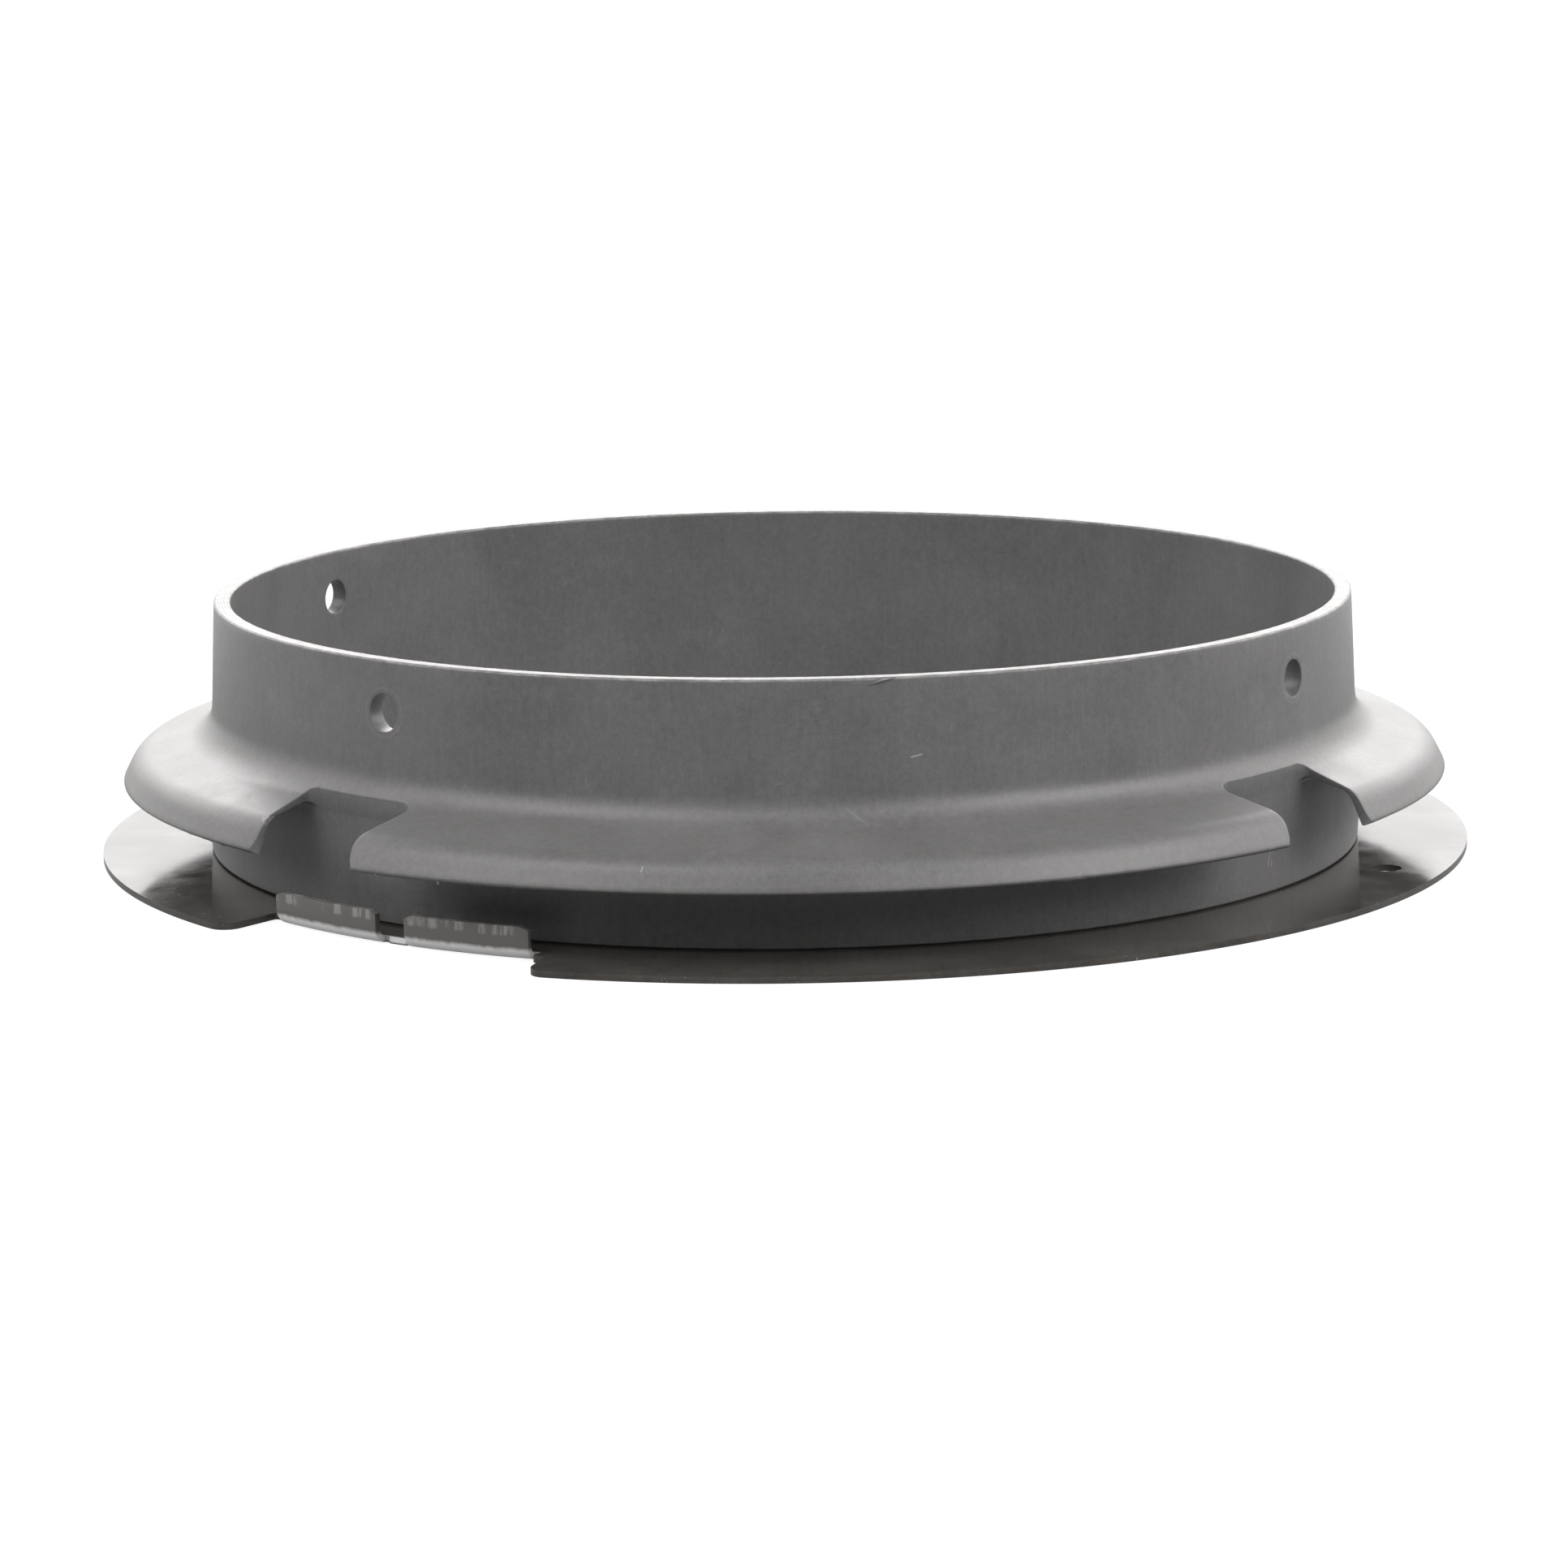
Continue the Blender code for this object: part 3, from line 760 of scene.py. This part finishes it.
def paint():
    """Black gloss paint on pressed steel: slightly wavy and dusty, with painted reflections on the upturned
    lips.
    """
    g = Graph(bpy.data.materials.new("ring_paint"))
    place = g.vector("SCALE", g.add("TexCoord", output=3))
    g.feed(place.node.inputs["Scale"], 1 / MM)
    x, y, z = (g.add("SeparateXYZ", {0: place}, i) for i in range(3))
    radius = g.math("SQRT", g.math("ADD", g.math("MULTIPLY", x, x), g.math("MULTIPLY", y, y)))
    upright = g.vector("MULTIPLY", place, (1.0, 1.0, 0.12))

    cloud = g.noise(place, 0.09, 4.0, 0.6, 0.4)
    dust = g.noise(place, 0.9, 5.0, 0.7)
    fleck = g.math("MULTIPLY", g.remap(g.noise(place, 2.4, 2.0, 0.5), 0.685, 0.73),
                   g.remap(cloud, 0.42, 0.62))
    film = g.math("ADD", g.remap(cloud, 0.3, 0.7, 0.0, 0.6, "LINEAR"),
                  g.remap(dust, 0.35, 0.75, 0.0, 0.4, "LINEAR"))
    colour = g.blend(film, grey(0.034, 0.10), grey(0.080, 0.07))
    colour = g.blend(g.math("MULTIPLY", fleck, 0.7), colour, grey(0.32, 0.05))

    # Each lip: a painted reflection, its face lifted to mid grey and the band round its bend painted near
    # white, and pale streaks near its top
    bend, face = BEND_START / MM, LIP_FACE / MM
    lip = g.math("MULTIPLY", g.remap(z, 0.05, 0.3), g.remap(radius, bend - 0.3, bend + 0.3))
    lip = g.math("MULTIPLY", lip, g.remap(radius, face + 0.1, face + 0.4, 1.0, 0.0))
    middle = math.radians((UPTURNED_LIPS[0][0] + UPTURNED_LIPS[1][1]) / 2)
    across = g.math("ABSOLUTE", g.math("ADD", g.math("MULTIPLY", x, math.cos(middle)),
                                       g.math("MULTIPLY", y, math.sin(middle))))
    reach = face * math.sin(math.radians((UPTURNED_LIPS[1][1] - UPTURNED_LIPS[0][0]) / 2))
    lip = g.math("MULTIPLY", lip, g.remap(across, reach + 0.2, reach + 0.4, 1.0, 0.0))
    ragged = g.math("ADD", z, g.remap(g.noise(upright, 0.9, 5.0, 0.6), 0.3, 0.7, -0.12, 0.12, "LINEAR"))
    bend_painted_reflection = g.math("MULTIPLY", lip, g.remap(ragged, 1.0, 1.75, 1.0, 0.0))
    runs = g.noise(upright, 1.5, 4.0, 0.65)
    clumps = g.remap(g.noise(upright, 0.45, 2.0, 0.4), 0.44, 0.56)
    streaks = g.math("MULTIPLY", g.remap(runs, 0.42, 0.58), g.remap(ragged, 2.9, 3.3))
    streaks = g.math("MULTIPLY", g.math("MULTIPLY", streaks, clumps), lip)
    # Painted reflection: each lip's face is lifted from the black paint to mid grey
    colour = g.blend(g.math("MULTIPLY", lip, 0.8), colour, grey(0.15, 0.04))
    colour = g.blend(g.math("MULTIPLY", streaks, 0.5), colour, grey(0.42, 0.03))
    # Painted reflection of the bright floor: the band round each lip's bend is painted near white
    colour = g.blend(g.math("MULTIPLY", bend_painted_reflection, 0.95), colour, grey(0.92, 0.0))
    metal = g.math("MULTIPLY", bend_painted_reflection, 0.1)
    rough = g.math("ADD", g.remap(cloud, 0.3, 0.7, 0.05, 0.09), g.math("MULTIPLY", film, 0.06))
    rough = g.math("ADD", rough, g.math("MULTIPLY", lip, 0.22), clamp=True)
    skin = g.bump(g.noise(place, 0.12, 1.0, 0.4), 0.02 * MM, 0.15)
    skin = g.bump(g.noise(place, 1.6, 3.0, 0.5), 0.003 * MM, 0.3, skin)
    skin = g.bump(fleck, 0.02 * MM, 0.5, skin)
    return g.surface(Base_Color=colour, Metallic=metal, Roughness=rough, Normal=skin)


def build_floor():
    bm = bmesh.new()
    bmesh.ops.create_grid(bm, x_segments=1, y_segments=1, size=30.0)
    mesh = bpy.data.meshes.new("floor")
    bm.to_mesh(mesh)
    bm.free()
    floor = bpy.data.objects.new("floor", mesh)
    floor.location.z = -0.02 * MM
    bpy.context.scene.collection.objects.link(floor)
    g = Graph(bpy.data.materials.new("floor_white"))
    # White where it is looked at; to the object it is a dimmer sheet, brighter towards the back wall
    seen = g.add("LightPath")
    depth = g.add("SeparateXYZ", {0: g.add("TexCoord", output=3)}, 1)
    glow = g.remap(depth, 0.10, 0.35, FLOOR_GLOW, 1.3)
    g.surface(Base_Color=(0.2, 0.2, 0.2, 1), Roughness=1.0, Specular_IOR_Level=0.0,
              Emission_Color=(1, 1, 1, 1), Emission_Strength=g.remap(seen, 0, 1, glow, 0.85, "LINEAR"))
    mesh.materials.append(g.owner)


def build_camera():
    """A view from close to level, aimed a little lower than the rim's centre."""
    forward = Vector((0, math.cos(ELEVATION), -math.sin(ELEVATION)))
    place = Vector((0, 0, HEIGHT)) - DISTANCE * forward
    right = Vector((1, 0, 0))
    up = right.cross(forward)
    forward = (forward - 0.0001 * right - TILT * up).normalized()
    right = forward.cross(Vector((0, 0, 1))).normalized()
    up = right.cross(forward)
    turned_right = math.cos(ROLL) * right + math.sin(ROLL) * up
    turned_up = -math.sin(ROLL) * right + math.cos(ROLL) * up
    data = bpy.data.cameras.new("camera")
    data.sensor_width = SENSOR
    data.lens = LENS
    data.clip_start = 0.01
    camera = bpy.data.objects.new("camera", data)
    bpy.context.scene.collection.objects.link(camera)
    axes = Matrix((turned_right, turned_up, -forward)).transposed().to_4x4()
    camera.matrix_world = Matrix.Translation(place) @ axes
    bpy.context.scene.camera = camera


def build_world():
    """Soft panels in a dim room: a bright wall behind, and panels at each side and above."""
    world = bpy.data.worlds.new("studio")
    bpy.context.scene.world = world
    g = Graph(world, "Background")
    direction = g.add("TexCoord")
    x, y, z = (g.add("SeparateXYZ", {0: direction}, i) for i in range(3))
    light = AMBIENT
    for azimuth, half_width, rise, fall, strength in PANELS:
        turn = math.radians(azimuth)
        across = g.math("ADD", g.math("MULTIPLY", x, math.cos(turn)),
                        g.math("MULTIPLY", y, math.sin(turn)))
        toward = g.math("SUBTRACT", g.math("MULTIPLY", x, math.sin(turn)),
                        g.math("MULTIPLY", y, math.cos(turn)))
        away = g.math("ABSOLUTE", g.math("ARCTAN2", across, toward))
        panel = g.remap(away, 0.0, math.radians(half_width), strength, 0.0, "LINEAR")
        rise_low, rise_high, fall_low, fall_high = (math.sin(math.radians(e)) for e in rise + fall)
        panel = g.math("MULTIPLY", panel, g.remap(z, rise_low, rise_high))
        panel = g.math("MULTIPLY", panel, g.remap(z, fall_low, fall_high, 1.0, 0.0))
        light = g.math("ADD", light, panel)
    g.surface(Strength=light, Color=(1.0, 0.985, 0.98, 1.0))


collar_mesh = build_collar_mesh()
break_edges(collar_mesh, COLLAR_BREAK, math.radians(38))
add_flash_threads(collar_mesh)
finished("collar_moulding", collar_mesh, plastic(), "collar")
ring_mesh = build_ring_mesh()
break_edges(ring_mesh, RING_BREAK, math.radians(50))
finished("ring_pressing", ring_mesh, paint(), "mounting_ring")

build_floor()
build_camera()
build_world()
bpy.context.scene.view_settings.view_transform = "Standard"
